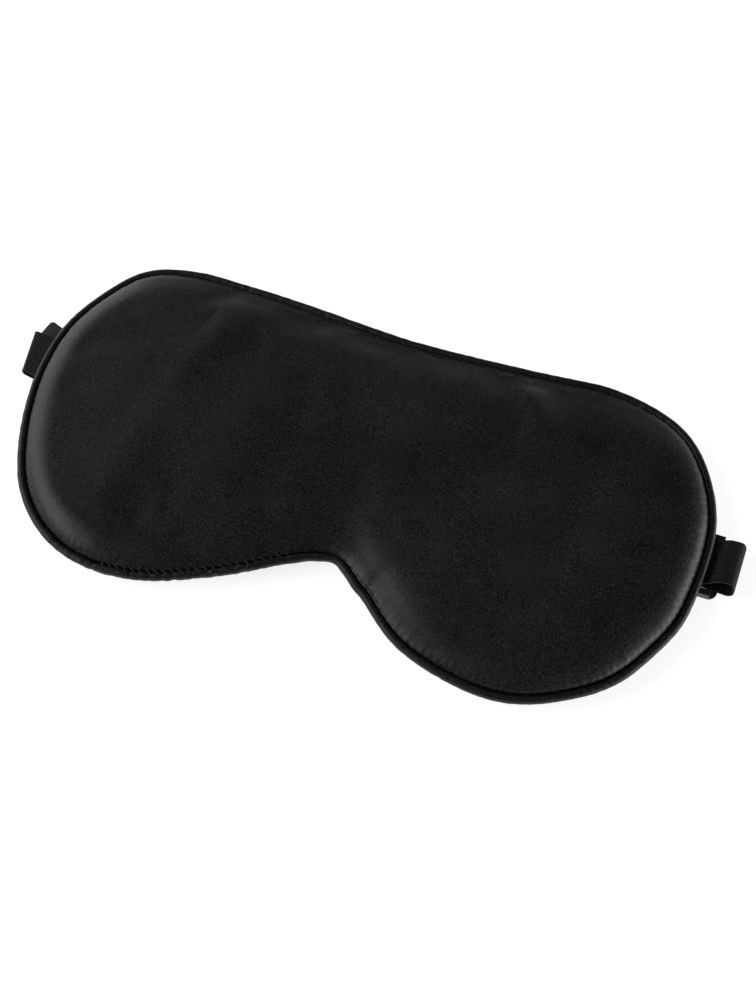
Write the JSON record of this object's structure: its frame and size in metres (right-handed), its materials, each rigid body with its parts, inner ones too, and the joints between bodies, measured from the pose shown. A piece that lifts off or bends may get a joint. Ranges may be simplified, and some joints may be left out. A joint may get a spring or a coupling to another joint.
{
  "type": "sleep eye mask",
  "caption": "Padded satin sleep mask with rounded lobes, a nose notch, a piped edge and an adjustable elastic head strap folded behind it.",
  "frame": {"origin": "middle of the mask's outline on the surface that it lies on, within a millimetre of the bottom centre of the whole box", "axes": "+X across the face to the side with the slider, +Y to the forehead edge, +Z out of the front cover"},
  "size_m": [0.2288, 0.1108, 0.012],
  "materials": {
    "satin": "black satin weave with a soft sheen",
    "piping": "black satin bias strip",
    "blackout": "thin opaque black lining",
    "wadding": "soft white wadding",
    "cord": "white cotton filler cord",
    "thread": "black polyester sewing thread",
    "elastic": "black ribbed woven elastic",
    "nylon": "black moulded nylon"
  },
  "bodies": {
    "mask": {"front_cover": "satin", "back_cover": "satin", "blackout_lining": "blackout", "padding_front": "wadding", "padding_back": "wadding", "piping_cord": "cord", "piping_cover": "piping", "seam_thread": "thread", "closing_stitches": "thread", "left_strap_tack": "thread", "right_strap_tack": "thread"},
    "strap": {"strap_tab": "elastic", "strap_band": "elastic", "strap_return": "elastic", "strap_ring": "nylon", "tab_stitches": "thread"},
    "slider": {"strap_slider": "nylon", "return_stitches": "thread"}
  },
  "joints": [
    {"name": "strap_pull", "type": "slide", "parent": "mask", "child": "strap", "axis": [0, 0, -1], "range_m": [0, 0.09], "stiffness_N_per_m": 20, "deforming": ["strap_tab", "strap_band"]},
    {"name": "slider_slide", "type": "slide", "parent": "strap", "child": "slider", "axis": [-1, 0, 0], "range_m": [0, 0.16], "deforming": ["strap_return"]}
  ]
}
